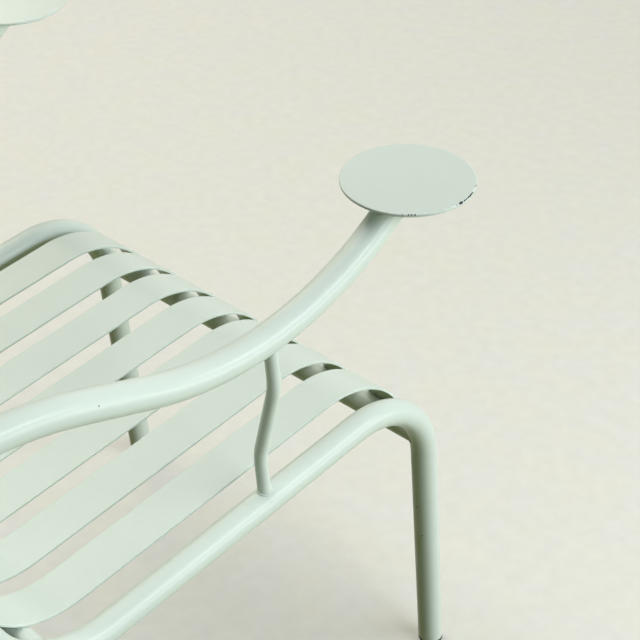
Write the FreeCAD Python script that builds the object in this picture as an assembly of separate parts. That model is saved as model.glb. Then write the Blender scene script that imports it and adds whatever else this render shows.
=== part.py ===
"""Metal lounge chair of bent steel tube and flat steel strip, welded into one rigid frame.

The floor is at Z = 0, the chair faces -Y, +X is the sitter's left, and the origin is on the
floor under the middle of the chair. All sizes are in millimetres and all angles in degrees.
"""
import FreeCAD, Part
import math
import os

V = FreeCAD.Vector

# Stock that the pieces are cut from
TUBE_DIA = 28.0
TUBE_WALL = 1.8
CROSS_DIA = 26.5
ROD_DIA = 13.0
SLAT_WIDTH = 46.0
SLAT_THICK = 3.0
SLAT_COUNT = 7
WELD_GAP = 0.2

# Side frame, one bent tube from front foot to rear foot. The lines of the front leg and the seat
# rail meet at the front corner, and heights above the seat are measured from there.
RAIL_SPACING = 505.0
CORNER_HEIGHT = 410.0
FRONT_LEG_LEAN = 4.9
FRONT_BEND = 105.0
SEAT_SLOPE = 4.1
SEAT_DEPTH = 505.0
SEAT_BEND = 120.0
BACK_RECLINE = 26.0
BACK_RISE = 350.0
TOP_BEND = 80.0
REAR_LEG_LEAN = 7.0

# Slats, which lie along the side frame from the front cross tube to the top bend
SLAT_DROP = 1.5
SLAT_CORNER = 8.0
TOP_LIP_TURN = 120.0

# Cross tubes, each at a turn into its bend. The front one ends the slats, the others lie under them.
FRONT_CROSS_TURN = 13.5
SEAT_CROSS_TURN = 34.0
TOP_CROSS_TURN = 64.0

# Arms, each along the outer side of a stile and ending in front under a round plate
DISC_DIA = 122.5
DISC_THICK = 3.0
DISC_EDGE = 0.8
DISC_RISE = 274.6
DISC_SETBACK = 64.5
ARM_FRONT_SLOPE = 40.2
ARM_SWEEP = 314.4
ARM_RISE_SLOPE = 20.7
ARM_RISE_RUN = 76.6
ARM_EASE = 378.0
ARM_END_SLOPE = 2.0
ARM_OVERRUN = 22.0
ARM_END_EDGE = 1.5

# Arm stays, rods square to the seat rail that jog outwards to the arm
STAY_SETBACK = 228.5
STAY_JOG_MIDDLE = 109.3
STAY_JOG_HEIGHT = 96.5
STAY_BEND = 75.0

# Foot glides, moulded plugs in the open ends of the legs
GLIDE_PAD = 6.0
GLIDE_STEM = 22.0
GLIDE_CLEARANCE = 0.15
GLIDE_EDGE = 1.5


def heading(angle):
    """Unit direction in the side view, at an angle above straight back."""
    return V(0, math.cos(math.radians(angle)), math.sin(math.radians(angle)))


def angle_of(direction):
    """Angle of a direction of the side view above straight back."""
    return math.degrees(math.atan2(direction.z, direction.y))


def run(start, end):
    """Straight edge."""
    return Part.LineSegment(start, end).toShape()


class Bend:
    """Round bend where two straight runs of a side view meet.

    An offset is measured from the centre line, and is positive to the left of the way that the
    path goes: away from the middle of a right-hand bend, and towards that of a left-hand one.
    """

    def __init__(self, corner, arrive, leave, radius):
        self.arrive = arrive
        self.turn = leave - arrive
        self.hand = math.copysign(1.0, self.turn)
        self.radius = radius
        reach = radius * math.tan(math.radians(abs(self.turn)) / 2)
        self.centre = corner - heading(arrive) * reach + heading(arrive + 90 * self.hand) * radius

    def point(self, turned, offset=0.0):
        """Point at so many degrees into the bend."""
        outward = heading(self.arrive + self.hand * turned - 90 * self.hand)
        return self.centre + outward * (self.radius - self.hand * offset)

    def start(self, offset=0.0):
        return self.point(0, offset)

    def end(self, offset=0.0):
        return self.point(abs(self.turn), offset)

    def arc(self, offset=0.0, first=0.0, last=None):
        """Round edge from one turn to another, or to the end of the bend."""
        stop = abs(self.turn) if last is None else last
        middle = self.point((first + stop) / 2, offset)
        return Part.Arc(self.point(first, offset), middle, self.point(stop, offset)).toShape()


def crossing(point_a, angle_a, point_b, angle_b):
    """Where two straight lines of the side view meet."""
    across = heading(angle_b + 90)
    along = (point_b - point_a).dot(across) / heading(angle_a).dot(across)
    return point_a + heading(angle_a) * along


def swept(edges, diameter, wall=0.0):
    """Round bar or tube along a path that lies in the side view."""
    path = Part.Wire(edges)
    first = edges[0]
    begin = first.valueAt(first.FirstParameter)
    normal = first.tangentAt(first.FirstParameter)
    outline = Part.Wire(Part.Circle(begin, normal, diameter / 2).toShape())
    bar = path.makePipe(Part.Face(outline))
    if not wall:
        return bar
    hole = Part.Wire(Part.Circle(begin, normal, diameter / 2 - wall).toShape())
    return bar.cut(path.makePipe(Part.Face(hole)))


def longest(cut):
    """The piece itself, without the offcuts that a cut leaves."""
    return max(cut.Solids, key=lambda solid: solid.Volume)


def above(height):
    """Block of all the room above a height."""
    reach = 4 * (CORNER_HEIGHT + BACK_RISE + SEAT_DEPTH + RAIL_SPACING)
    return Part.makeBox(2 * reach, 2 * reach, reach, V(-reach, -reach, height))


# Side view of the side frame, with the front corner on the Y axis
LEG_UP = 90 - FRONT_LEG_LEAN
RAIL_BACK = -SEAT_SLOPE
STILE_UP = 90 - BACK_RECLINE
LEG_DOWN = -90 + REAR_LEG_LEAN

front_corner = V(0, 0, CORNER_HEIGHT)
seat_corner = crossing(front_corner, RAIL_BACK, V(0, SEAT_DEPTH, 0), 90)
crown = CORNER_HEIGHT + BACK_RISE - TUBE_DIA / 2
stile_top = crown - TOP_BEND * (1 - math.sin(math.radians(BACK_RECLINE)))
top_start = crossing(seat_corner, STILE_UP, V(0, 0, stile_top), 0)
top_reach = TOP_BEND * math.tan(math.radians(STILE_UP - LEG_DOWN) / 2)
top_corner = top_start + heading(STILE_UP) * top_reach

front_bend = Bend(front_corner, LEG_UP, RAIL_BACK, FRONT_BEND)
seat_bend = Bend(seat_corner, RAIL_BACK, STILE_UP, SEAT_BEND)
top_bend = Bend(top_corner, STILE_UP, LEG_DOWN, TOP_BEND)

front_foot = crossing(front_corner, LEG_UP, V(0, 0, 0), 0)
rear_foot = crossing(top_corner, LEG_DOWN, V(0, 0, 0), 0)
toe = front_foot.y - TUBE_DIA / 2 / math.cos(math.radians(FRONT_LEG_LEAN))
heel = rear_foot.y + TUBE_DIA / 2 / math.cos(math.radians(REAR_LEG_LEAN))
TO_ORIGIN = V(0, -(toe + heel) / 2, 0)
SIDES = {"left": RAIL_SPACING / 2, "right": -RAIL_SPACING / 2}


def frame_path():
    """Centre line of a side frame, carried on below the floor at both feet."""
    spare = TUBE_DIA
    return [
        run(front_foot - heading(LEG_UP) * spare, front_bend.start()),
        front_bend.arc(),
        run(front_bend.end(), seat_bend.start()),
        seat_bend.arc(),
        run(seat_bend.end(), top_bend.start()),
        top_bend.arc(),
        run(top_bend.end(), rear_foot + heading(LEG_DOWN) * spare),
    ]


def frame_envelope():
    """Solid bar a weld gap larger than the side frame, which copes what is welded to it."""
    return swept(frame_path(), TUBE_DIA + 2 * WELD_GAP)


def side_frame():
    """Bent tube with both feet cut level at the top of the glides' pads."""
    return swept(frame_path(), TUBE_DIA, TUBE_WALL).common(above(GLIDE_PAD))


def foot_glide(foot, leg_angle):
    """Plug for one foot: a pad as wide as the tube, and a stem inside it."""
    axis = heading(leg_angle)
    pad = Part.makeCylinder(TUBE_DIA / 2, 2 * TUBE_DIA, foot - axis * TUBE_DIA, axis)
    pad = pad.common(above(0)).cut(above(GLIDE_PAD))
    rim = [edge for edge in pad.Edges if edge.BoundBox.ZMax < GLIDE_PAD / 4]
    pad = pad.makeFillet(GLIDE_EDGE, rim)
    bore = TUBE_DIA / 2 - TUBE_WALL - GLIDE_CLEARANCE
    stem = Part.makeCylinder(bore, GLIDE_PAD + GLIDE_STEM, foot, axis)
    return pad.fuse(stem.common(above(GLIDE_PAD / 2))).removeSplitter()


FACE = TUBE_DIA / 2 - SLAT_DROP
UNDERSIDE = FACE - SLAT_THICK


def slat_line(offset):
    """One long side of a slat's edge, from the front cross tube over the seat and back to the top lip."""
    return [
        front_bend.arc(offset, first=FRONT_CROSS_TURN),
        run(front_bend.end(offset), seat_bend.start(offset)),
        seat_bend.arc(offset),
        run(seat_bend.end(offset), top_bend.start(offset)),
        top_bend.arc(offset, last=TOP_LIP_TURN),
    ]


def slat(middle):
    """Bent strip centred on one place across the seat.

    Its front end is coped to the front cross tube, and its top end has rounded corners.
    """
    front_end = run(front_bend.point(FRONT_CROSS_TURN, FACE), front_bend.point(FRONT_CROSS_TURN, UNDERSIDE))
    top_end = run(top_bend.point(TOP_LIP_TURN, FACE), top_bend.point(TOP_LIP_TURN, UNDERSIDE))
    edges = slat_line(FACE) + [top_end] + slat_line(UNDERSIDE) + [front_end]
    side = Part.Face(Part.Wire(Part.__sortEdges__(edges)))
    side.translate(V(middle - SLAT_WIDTH / 2, 0, 0))
    strip = side.extrude(V(SLAT_WIDTH, 0, 0))
    end = top_end.CenterOfMass
    corners = [
        edge
        for edge in strip.Edges
        if math.hypot(edge.CenterOfMass.y - end.y, edge.CenterOfMass.z - end.z) < SLAT_THICK / 100
        and edge.Length < SLAT_WIDTH / 2
    ]
    front_tube = across(front_bend.point(FRONT_CROSS_TURN), CROSS_DIA + 2 * WELD_GAP)
    return longest(strip.makeFillet(SLAT_CORNER, corners).cut(front_tube))


def across(axis, diameter):
    """Round bar across the chair, which ends inside both side frames."""
    half = RAIL_SPACING / 2 - TUBE_DIA / 8
    return Part.makeCylinder(diameter / 2, 2 * half, axis - V(half, 0, 0), V(1, 0, 0))


def cross_tube(axis):
    """Tube across the chair, coped to both side frames."""
    tube = across(axis, CROSS_DIA).cut(across(axis, CROSS_DIA - 2 * TUBE_WALL))
    for place in SIDES.values():
        side = frame_envelope()
        side.translate(V(place, 0, 0))
        tube = tube.cut(side)
    return longest(tube)


# Side view of the arm, from the middle of the disc's underside back past the stile
ARM_ASIDE = TUBE_DIA + WELD_GAP
arm_front = front_corner + V(0, DISC_SETBACK, DISC_RISE - DISC_THICK)
sweep_centre = arm_front + heading(90 - ARM_FRONT_SLOPE) * ARM_SWEEP


def sweep_point(slope):
    """Point of the arm's sweep where it climbs at a slope."""
    return sweep_centre + heading(slope - 90) * ARM_SWEEP


rise_start = sweep_point(ARM_RISE_SLOPE)
rise_end = rise_start + heading(ARM_RISE_SLOPE) * ARM_RISE_RUN
ease_centre = rise_end + heading(ARM_RISE_SLOPE - 90) * ARM_EASE


def ease_point(slope):
    """Point where the arm levels out towards the stile, at a slope."""
    return ease_centre + heading(slope + 90) * ARM_EASE


ease_end = ease_point(ARM_END_SLOPE)
arm_beside_stile = crossing(ease_end, ARM_END_SLOPE, seat_corner, STILE_UP)
arm_end = arm_beside_stile + heading(ARM_END_SLOPE) * ARM_OVERRUN


def arm_path(end):
    """Centre line of an arm, carried on above the disc's underside, back to an end."""
    spare = 2 * TUBE_DIA
    sweep_middle = (ARM_RISE_SLOPE - ARM_FRONT_SLOPE) / 2
    ease_middle = (ARM_RISE_SLOPE + ARM_END_SLOPE) / 2
    return [
        run(arm_front - heading(-ARM_FRONT_SLOPE) * spare, arm_front),
        Part.Arc(arm_front, sweep_point(sweep_middle), rise_start).toShape(),
        run(rise_start, rise_end),
        Part.Arc(rise_end, ease_point(ease_middle), ease_end).toShape(),
        run(ease_end, end),
    ]


def arm():
    """Tube cut level under the disc, with a closed and rounded end behind the stile."""
    bar = swept(arm_path(arm_end), TUBE_DIA)
    rim = [edge for edge in bar.Edges if edge.CenterOfMass.distanceToPoint(arm_end) < TUBE_WALL / 100]
    bar = bar.makeFillet(ARM_END_EDGE, rim)
    bore_end = arm_end - heading(ARM_END_SLOPE) * TUBE_WALL
    bore = swept(arm_path(bore_end), TUBE_DIA - 2 * TUBE_WALL)
    disc_room = Part.makeCylinder(DISC_DIA / 2, 3 * TUBE_DIA, arm_front)
    return longest(bar.cut(bore).cut(disc_room))


def arm_disc():
    """Flat round plate on the front end of an arm, with its rim broken by hand."""
    plate = Part.makeCylinder(DISC_DIA / 2, DISC_THICK, arm_front)
    rims = [edge for edge in plate.Edges if len(edge.Vertexes) == 1]
    return plate.makeFillet(DISC_EDGE, rims)


def arm_stay(outward):
    """Rod with two gentle bends, coped to the seat rail below and to the arm above.

    It is set out flat, with its jog along Y, and then turned to stand square on the rail.
    """
    foot = crossing(front_corner, RAIL_BACK, V(0, STAY_SETBACK, 0), 90)
    away = foot - sweep_centre
    lean = away.dot(heading(RAIL_BACK + 90))
    height = -lean - math.sqrt(lean**2 - away.dot(away) + ARM_SWEEP**2)
    lower_corner = V(0, 0, STAY_JOG_MIDDLE - STAY_JOG_HEIGHT / 2)
    upper_corner = V(0, ARM_ASIDE, STAY_JOG_MIDDLE + STAY_JOG_HEIGHT / 2)
    slant = angle_of(upper_corner - lower_corner)
    lower = Bend(lower_corner, 90, slant, STAY_BEND)
    upper = Bend(upper_corner, slant, 90, STAY_BEND)
    path = [
        run(V(0, 0, 0), lower.start()),
        lower.arc(),
        run(lower.end(), upper.start()),
        upper.arc(),
        run(upper.end(), V(0, ARM_ASIDE, height)),
    ]
    rod = swept(path, ROD_DIA)
    rod.rotate(V(0, 0, 0), V(0, 0, 1), -90 * outward)
    rod.rotate(V(0, 0, 0), V(1, 0, 0), RAIL_BACK)
    rod.translate(foot)
    arm_bar = swept(arm_path(arm_end), TUBE_DIA + 2 * WELD_GAP)
    arm_bar.translate(V(outward * ARM_ASIDE, 0, 0))
    return longest(rod.cut(arm_bar).cut(frame_envelope()))


def pieces():
    """Every piece of the chair by name, each at its place."""
    made = {}
    for side, place in SIDES.items():
        outward = math.copysign(1, place)
        one_side = {
            "side_frame": side_frame(),
            "arm_stay": arm_stay(outward),
            "foot_glide_front": foot_glide(front_foot, LEG_UP),
            "foot_glide_rear": foot_glide(rear_foot, LEG_DOWN + 180),
        }
        for name, shape in one_side.items():
            shape.translate(V(place, 0, 0))
            made[name + "_" + side] = shape
        for name, shape in {"arm": arm(), "arm_disc": arm_disc()}.items():
            shape.translate(V(place + outward * ARM_ASIDE, 0, 0))
            made[name + "_" + side] = shape
    room = RAIL_SPACING - TUBE_DIA
    gap = (room - SLAT_COUNT * SLAT_WIDTH) / (SLAT_COUNT + 1)
    pitch = SLAT_WIDTH + gap
    for number in range(SLAT_COUNT):
        middle = ((SLAT_COUNT - 1) / 2 - number) * pitch
        made["slat_" + str(number + 1)] = slat(middle)
    under = UNDERSIDE - WELD_GAP - CROSS_DIA / 2
    made["front_cross_tube"] = cross_tube(front_bend.point(FRONT_CROSS_TURN))
    made["seat_cross_tube"] = cross_tube(seat_bend.point(SEAT_CROSS_TURN, under))
    made["top_cross_tube"] = cross_tube(top_bend.point(TOP_CROSS_TURN, under))
    return made


os.makedirs("parts", exist_ok=True)
for name, shape in pieces().items():
    shape.translate(TO_ORIGIN)
    shape.exportStep("parts/" + name + ".step")
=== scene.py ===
"""Dressed metal lounge chair: bent tubes, flat slats and round arm plates in satin paint.

Lengths are in metres and angles in degrees. The floor is at Z = 0, the chair faces -Y, and +X is
the sitter's left. A side view is the plane of Y and Z, and its angles are above straight back.
"""
import functools
import logging
import math
import random
from collections.abc import Callable
from dataclasses import dataclass
from enum import Enum

import bmesh
import bpy
from mathutils import Matrix, Vector


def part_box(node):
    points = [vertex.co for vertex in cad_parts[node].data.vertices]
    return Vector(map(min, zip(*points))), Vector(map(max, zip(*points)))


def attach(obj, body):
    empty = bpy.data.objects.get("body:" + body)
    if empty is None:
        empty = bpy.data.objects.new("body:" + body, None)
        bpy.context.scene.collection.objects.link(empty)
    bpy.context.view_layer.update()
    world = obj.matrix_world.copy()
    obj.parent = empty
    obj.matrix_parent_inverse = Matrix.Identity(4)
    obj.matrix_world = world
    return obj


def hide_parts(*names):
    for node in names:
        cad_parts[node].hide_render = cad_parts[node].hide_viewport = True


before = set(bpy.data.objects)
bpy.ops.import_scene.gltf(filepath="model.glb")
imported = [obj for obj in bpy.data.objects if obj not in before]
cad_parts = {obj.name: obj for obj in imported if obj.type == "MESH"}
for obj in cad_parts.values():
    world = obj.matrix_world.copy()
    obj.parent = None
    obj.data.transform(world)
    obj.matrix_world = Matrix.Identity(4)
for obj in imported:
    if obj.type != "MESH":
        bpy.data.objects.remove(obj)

Colour = tuple[float, float, float]
Place = tuple[float, float, float]
Piece = bpy.types.Object
Material = bpy.types.Material
Socket = bpy.types.NodeSocket
log = logging.getLogger("lounge_chair")
ACROSS = Vector((1.0, 0.0, 0.0))
UP = Vector((0.0, 0.0, 1.0))
BLACK = (0.0, 0.0, 0.0)


class Side(Enum):
    """The two sides of the chair, as the sitter knows them."""

    LEFT = "left"
    RIGHT = "right"

    @property
    def sign(self) -> int:
        """+1 on the sitter's left, where X is positive."""
        return 1 if self is Side.LEFT else -1


class Slot(Enum):
    """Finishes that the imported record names."""

    FRAME = "frame_paint"
    ARM = "arm_paint"
    SLAT = "slat_paint"
    DISC = "disc_paint"
    GLIDE = "glide_plastic"


# Setting out


def heading(angle: float) -> Vector:
    """Unit direction in the side view."""
    turned = math.radians(angle)
    return Vector((0.0, math.cos(turned), math.sin(turned)))


def angle_of(direction: Vector) -> float:
    """Angle of a direction in the side view."""
    return math.degrees(math.atan2(direction.z, direction.y))


def meeting(point_a: Vector, angle_a: float, point_b: Vector, angle_b: float) -> Vector:
    """Finds where two straight lines of the side view meet.

    Args:
        point_a: A point of the first line.
        angle_a: Angle of the first line.
        point_b: A point of the second line.
        angle_b: Angle of the second line.

    Returns:
        The point that both lines pass through.
    """
    normal = heading(angle_b + 90)
    along = (point_b - point_a).dot(normal) / heading(angle_a).dot(normal)
    return point_a + heading(angle_a) * along


@dataclass(frozen=True)
class Bend:
    """Round bend between two straight runs of a side view.

    An offset from the centre line is positive to the left of the way that the path goes.
    """

    centre: Vector
    arrive: float
    leave: float
    radius: float

    @classmethod
    def from_start(cls, start: Vector, arrive: float, leave: float, radius: float) -> "Bend":
        """Lays out a bend from the point where it begins.

        Args:
            start: First point of the bend.
            arrive: Angle of the path there.
            leave: Angle of the path after the bend.
            radius: Radius of the centre line.

        Returns:
            The bend.
        """
        inward = heading(arrive + math.copysign(90.0, leave - arrive))
        return cls(start + inward * radius, arrive, leave, radius)

    @classmethod
    def at_corner(cls, corner: Vector, arrive: float, leave: float, radius: float) -> "Bend":
        """Lays out a bend from the corner where its two runs would meet.

        Args:
            corner: Where the lines of the two runs cross.
            arrive: Angle of the run before the bend.
            leave: Angle of the run after it.
            radius: Radius of the centre line.

        Returns:
            The bend.
        """
        reach = radius * math.tan(math.radians(abs(leave - arrive)) / 2)
        return cls.from_start(corner - heading(arrive) * reach, arrive, leave, radius)

    @property
    def hand(self) -> float:
        """+1 for a bend to the left of the path, -1 for one to its right."""
        return math.copysign(1.0, self.leave - self.arrive)

    @property
    def turn(self) -> float:
        """Whole turn of the bend, without its hand."""
        return abs(self.leave - self.arrive)

    def point(self, turned: float, offset: float = 0.0) -> Vector:
        """Point at so many degrees into the bend, so far from the centre line."""
        outward = heading(self.arrive + self.hand * (turned - 90))
        return self.centre + outward * (self.radius - self.hand * offset)

    def start(self, offset: float = 0.0) -> Vector:
        """First point of the bend."""
        return self.point(0.0, offset)

    def end(self, offset: float = 0.0) -> Vector:
        """Last point of the bend."""
        return self.point(self.turn, offset)


@dataclass(frozen=True)
class Stock:
    """Tube, rod and strip that the chair is made of, and how finely they are drawn."""

    tube: float = 0.028
    wall: float = 0.0018
    cross: float = 0.0265
    rod: float = 0.013
    slat_width: float = 0.046
    slat_thick: float = 0.003
    weld_gap: float = 0.0002
    tube_points: int = 56
    rod_points: int = 40
    facet: float = 3.2


@dataclass(frozen=True)
class ChairSizes:
    """Sizes that set out the side view of the chair."""

    rail_spacing: float = 0.505
    corner_height: float = 0.410
    front_lean: float = 4.9
    front_bend: float = 0.105
    seat_slope: float = 4.1
    seat_depth: float = 0.505
    seat_bend: float = 0.120
    recline: float = 26.0
    back_rise: float = 0.350
    top_bend: float = 0.080
    rear_lean: float = 7.0
    front_cross_turn: float = 13.5
    seat_cross_turn: float = 34.0
    top_cross_turn: float = 64.0
    foot_pad: float = 0.006
    disc_rise: float = 0.2746
    disc_setback: float = 0.0645
    disc_thick: float = 0.003
    arm_front_slope: float = 40.2
    arm_sweep: float = 0.3144
    arm_rise_slope: float = 20.7
    arm_rise_run: float = 0.0766
    arm_ease: float = 0.378
    arm_end_slope: float = 2.0
    arm_overrun: float = 0.022


class SideView:
    """Centre lines of the tubes, in the plane of one side of the chair."""

    def __init__(self, sizes: ChairSizes, stock: Stock, front: float = 0.0) -> None:
        """Lays out the lines.

        Args:
            sizes: Driving sizes of the chair.
            stock: Tube that the frame is bent from.
            front: Y of the front corner, where the lines of front leg and seat rail meet.
        """
        self.sizes = sizes
        self.stock = stock
        self.leg_up = 90 - sizes.front_lean
        self.rail_back = -sizes.seat_slope
        self.stile_up = 90 - sizes.recline
        self.leg_down = sizes.rear_lean - 90
        self.front_corner = Vector((0, front, sizes.corner_height))
        below_back = Vector((0, front + sizes.seat_depth, 0))
        self.seat_corner = meeting(self.front_corner, self.rail_back, below_back, 90)
        crown = sizes.corner_height + sizes.back_rise - stock.tube / 2
        shoulder = crown - sizes.top_bend * (1 - math.sin(math.radians(sizes.recline)))
        stile_end = meeting(self.seat_corner, self.stile_up, UP * shoulder, 0)
        self.front_bend = Bend.at_corner(self.front_corner, self.leg_up, self.rail_back, sizes.front_bend)
        self.seat_bend = Bend.at_corner(self.seat_corner, self.rail_back, self.stile_up, sizes.seat_bend)
        self.top_bend = Bend.from_start(stile_end, self.stile_up, self.leg_down, sizes.top_bend)
        self.front_foot = meeting(self.front_corner, self.leg_up, Vector(), 0)
        self.rear_foot = meeting(self.top_bend.end(), self.leg_down, Vector(), 0)
        arm_rise = sizes.disc_rise - sizes.disc_thick
        self.arm_front = self.front_corner + Vector((0, sizes.disc_setback, arm_rise))
        self.arm_sweep = Bend.from_start(
            self.arm_front, -sizes.arm_front_slope, sizes.arm_rise_slope, sizes.arm_sweep
        )
        rise_end = self.arm_sweep.end() + heading(sizes.arm_rise_slope) * sizes.arm_rise_run
        self.arm_ease = Bend.from_start(rise_end, sizes.arm_rise_slope, sizes.arm_end_slope, sizes.arm_ease)
        arm_rear = self.arm_ease.end()
        self.arm_beside_stile = meeting(arm_rear, sizes.arm_end_slope, self.seat_corner, self.stile_up)
        self.arm_end = self.arm_beside_stile + heading(sizes.arm_end_slope) * sizes.arm_overrun
        self.arm_aside = stock.tube + stock.weld_gap

    @classmethod
    def centred(cls, sizes: ChairSizes, stock: Stock) -> "SideView":
        """Lays out the lines with the middle of the chair's depth at Y = 0.

        Args:
            sizes: Driving sizes of the chair.
            stock: Tube that the frame is bent from.

        Returns:
            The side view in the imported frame.
        """
        loose = cls(sizes, stock)
        toe = loose.front_foot.y - stock.tube / 2 / math.cos(math.radians(sizes.front_lean))
        heel = loose.rear_foot.y + stock.tube / 2 / math.cos(math.radians(sizes.rear_lean))
        return cls(sizes, stock, -(toe + heel) / 2)

    def rail(self, side: Side) -> float:
        """X of one side frame."""
        return side.sign * self.sizes.rail_spacing / 2

    def arm_line(self, side: Side) -> float:
        """X of one arm, which lies along the outer side of its side frame."""
        return self.rail(side) + side.sign * self.arm_aside


# Bench work


def clear_bench() -> None:
    """Leaves edit mode and deselects everything."""
    if bpy.context.object and bpy.context.object.mode != "OBJECT":
        close_up()
    bpy.ops.object.select_all(action="DESELECT")


def take_up(piece: Piece) -> None:
    """Makes a piece the only one that is selected.

    Args:
        piece: The piece.
    """
    clear_bench()
    piece.select_set(True)
    bpy.context.view_layer.objects.active = piece


def open_up(piece: Piece) -> None:
    """Opens a piece for editing with all of it selected.

    Args:
        piece: The piece.
    """
    take_up(piece)
    bpy.ops.object.mode_set(mode="EDIT")
    bpy.ops.mesh.select_mode(type="VERT")
    bpy.ops.mesh.select_all(action="SELECT")


def close_up() -> None:
    """Leaves edit mode."""
    bpy.ops.object.mode_set(mode="OBJECT")


def extrude(by: Vector) -> None:
    """Extrudes what is selected on the piece that is open."""
    bpy.ops.mesh.extrude_region_move(TRANSFORM_OT_translate={"value": by})


def pick(piece: Piece, wanted: Callable[[Vector], bool]) -> None:
    """Selects what lies where it is wanted on the piece that is open.

    Args:
        piece: The piece in edit mode.
        wanted: Says of a vertex's place whether it is selected.
    """
    bpy.ops.mesh.select_all(action="DESELECT")
    mesh = bmesh.from_edit_mesh(piece.data)
    for vertex in mesh.verts:
        vertex.select_set(wanted(vertex.co))
    mesh.select_flush(True)
    bmesh.update_edit_mesh(piece.data)


def start_piece(name: str) -> Piece:
    """Names the primitive just added, puts its place in its mesh and opens it.

    Args:
        name: The piece's name.

    Returns:
        The piece, all selected in edit mode.
    """
    piece = bpy.context.object
    piece.name = name
    piece.data.name = name
    bpy.ops.object.transform_apply(location=True, rotation=True, scale=True)
    open_up(piece)
    return piece


def apply(piece: Piece, kind: str, **settings: object) -> None:
    """Finishes a piece with one modifier, which is applied.

    Args:
        piece: The piece to finish.
        kind: Blender's name of the modifier's type.
        settings: Values of the modifier.
    """
    take_up(piece)
    step = piece.modifiers.new(kind.title(), kind)
    for key, value in settings.items():
        setattr(step, key, value)
    bpy.ops.object.modifier_apply(modifier=step.name)


def cope(piece: Piece, bar: Piece) -> None:
    """Cuts a piece to the round of a bar that it is welded to."""
    apply(piece, "BOOLEAN", object=bar, operation="DIFFERENCE", solver="EXACT")


def scrap(*pieces: Piece) -> None:
    """Throws pieces away that were only needed for cutting."""
    for piece in pieces:
        bpy.data.meshes.remove(piece.data)


def smooth(piece: Piece, crease: float = 40.0) -> None:
    """Shades a piece smooth, except over edges sharper than a crease."""
    take_up(piece)
    bpy.ops.object.shade_smooth_by_angle(angle=math.radians(crease))


def settle(piece: Piece, crease: float = 60.0) -> None:
    """Shades a piece smooth over its eased edges and keeps its faces looking flat."""
    smooth(piece, crease)
    apply(piece, "WEIGHTED_NORMAL", mode="FACE_AREA", keep_sharp=True)


def ease_edges(piece: Piece, width: float, steps: int = 3, sharp: float = 50.0) -> None:
    """Rounds the sharp edges of a flat piece and keeps its faces looking flat.

    Args:
        piece: The piece to finish.
        width: How far the rounding reaches from the edge.
        steps: Faces across the rounding.
        sharp: Turn between two faces from which their edge is rounded.
    """
    limit = math.radians(sharp)
    apply(piece, "BEVEL", width=width, segments=steps, limit_method="ANGLE", angle_limit=limit)
    settle(piece)


def join(name: str, pieces: list[Piece]) -> Piece:
    """Makes one piece of several.

    Args:
        name: The name of the whole.
        pieces: The pieces, which it takes in.

    Returns:
        The whole.
    """
    take_up(pieces[0])
    for piece in pieces:
        piece.select_set(True)
    bpy.ops.object.join()
    whole = bpy.context.object
    whole.name = name
    whole.data.name = name
    return whole


class Sweep:
    """A section carried along a path of the side view, as a tube or strip is bent."""

    def __init__(self, place: float, stock: Stock, start: Vector) -> None:
        """Stands at the start of the path.

        Args:
            place: X of the path.
            stock: How finely bends are drawn.
            start: First point of the path.
        """
        self.place = place
        self.stock = stock
        self.at = start

    def ring(self, name: str, diameter: float, angle: float, points: int) -> Piece:
        """Opens a ring across the path.

        Args:
            name: The piece's name.
            diameter: Size of the ring.
            angle: Angle of the path at its start.
            points: Points of the ring.

        Returns:
            The piece that grows from the ring.
        """
        clear_bench()
        bpy.ops.mesh.primitive_circle_add(
            vertices=points,
            radius=diameter / 2,
            location=self.at + ACROSS * self.place,
            rotation=(math.radians(angle - 90), 0, 0),
        )
        return start_piece(name)

    def edge(self, name: str, width: float, cuts: int) -> Piece:
        """Opens a straight edge across the path.

        Args:
            name: The piece's name.
            width: Length of the edge.
            cuts: Points between its ends.

        Returns:
            The piece that grows from the edge.
        """
        clear_bench()
        bpy.ops.mesh.primitive_plane_add(size=width, location=self.at + ACROSS * self.place)
        piece = start_piece(name)
        pick(piece, lambda at: at.y > self.at.y)
        bpy.ops.mesh.delete(type="VERT")
        bpy.ops.mesh.select_all(action="SELECT")
        bpy.ops.transform.translate(value=(0, width / 2, 0))
        bpy.ops.mesh.subdivide(number_cuts=cuts)
        return piece

    def run_to(self, end: Vector) -> None:
        """Carries the section straight on to a point."""
        extrude(end - self.at)
        self.at = end

    def turn(
        self, bend: Bend, offset: float = 0.0, first: float = 0.0, last: float | None = None, steps: int = 0
    ) -> None:
        """Carries the section round a bend, or a part of it.

        Args:
            bend: The bend, where the section already stands.
            offset: How far the path lies from the bend's centre line.
            first: Degrees into the bend where the section stands.
            last: Degrees where it stops, if not at the end of the bend.
            steps: Facets that it takes, if not as many as the stock's facets make.
        """
        stop = bend.turn if last is None else last
        bpy.ops.mesh.spin(
            steps=steps or max(1, round((stop - first) / self.stock.facet)),
            angle=-bend.hand * math.radians(stop - first),
            center=bend.centre + ACROSS * self.place,
            axis=ACROSS,
        )
        self.at = bend.point(stop, offset)


def close_ends() -> None:
    """Fills the open ends of the piece in edit mode and turns its faces outwards."""
    bpy.ops.mesh.select_all(action="SELECT")
    bpy.ops.mesh.fill_holes(sides=0)
    bpy.ops.mesh.normals_make_consistent(inside=False)
    close_up()


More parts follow.
